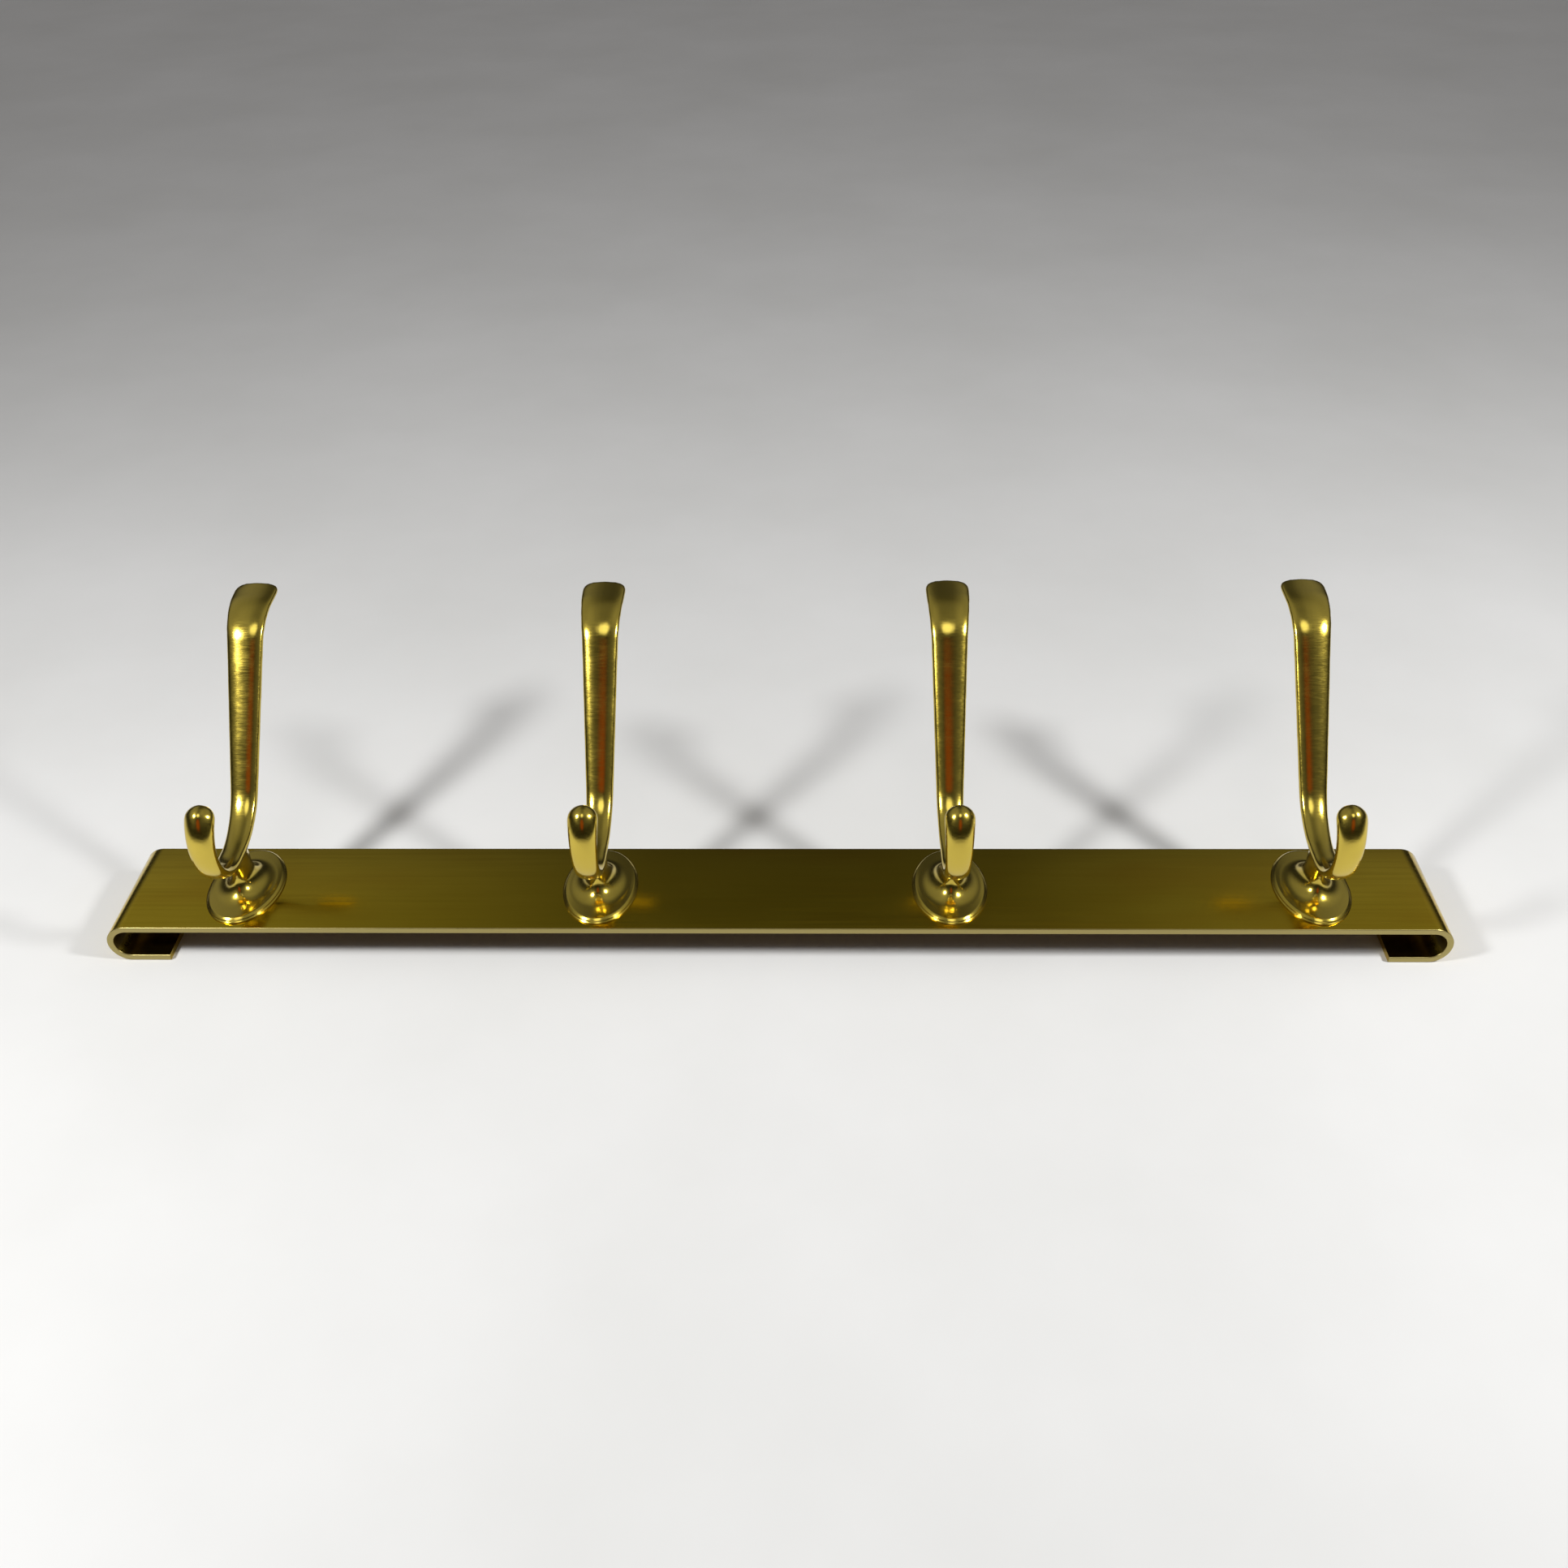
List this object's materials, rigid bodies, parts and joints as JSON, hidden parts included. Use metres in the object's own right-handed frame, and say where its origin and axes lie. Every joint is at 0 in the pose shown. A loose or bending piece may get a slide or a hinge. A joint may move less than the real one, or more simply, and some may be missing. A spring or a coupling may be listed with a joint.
{
  "type": "wall coat rack",
  "caption": "Brass wall coat rack: a flat strip with rolled-under ends carrying a row of cast double hooks on oval rosettes.",
  "frame": {"origin": "wall plane at the middle of the strip, midway between the two wall keyholes", "axes": "+X along the strip to the right as seen by a person facing the wall, +Y up the wall, +Z out of the wall; the rack lies on its back"},
  "size_m": [0.45, 0.0977, 0.0934],
  "materials": {
    "strip_brass": "polished sheet with fine brush lines along the strip and light scratches",
    "hook_brass": "satin polished casting with softly worn faces",
    "screw_steel": "plain zinc plated",
    "washer_brass": "plain stamped"
  },
  "bodies": {
    "root": {"back_strip": "strip_brass", "hook_1": "hook_brass", "hook_2": "hook_brass", "hook_3": "hook_brass", "hook_4": "hook_brass", "hook_screws": "screw_steel", "hook_washers": "washer_brass"}
  },
  "joints": []
}
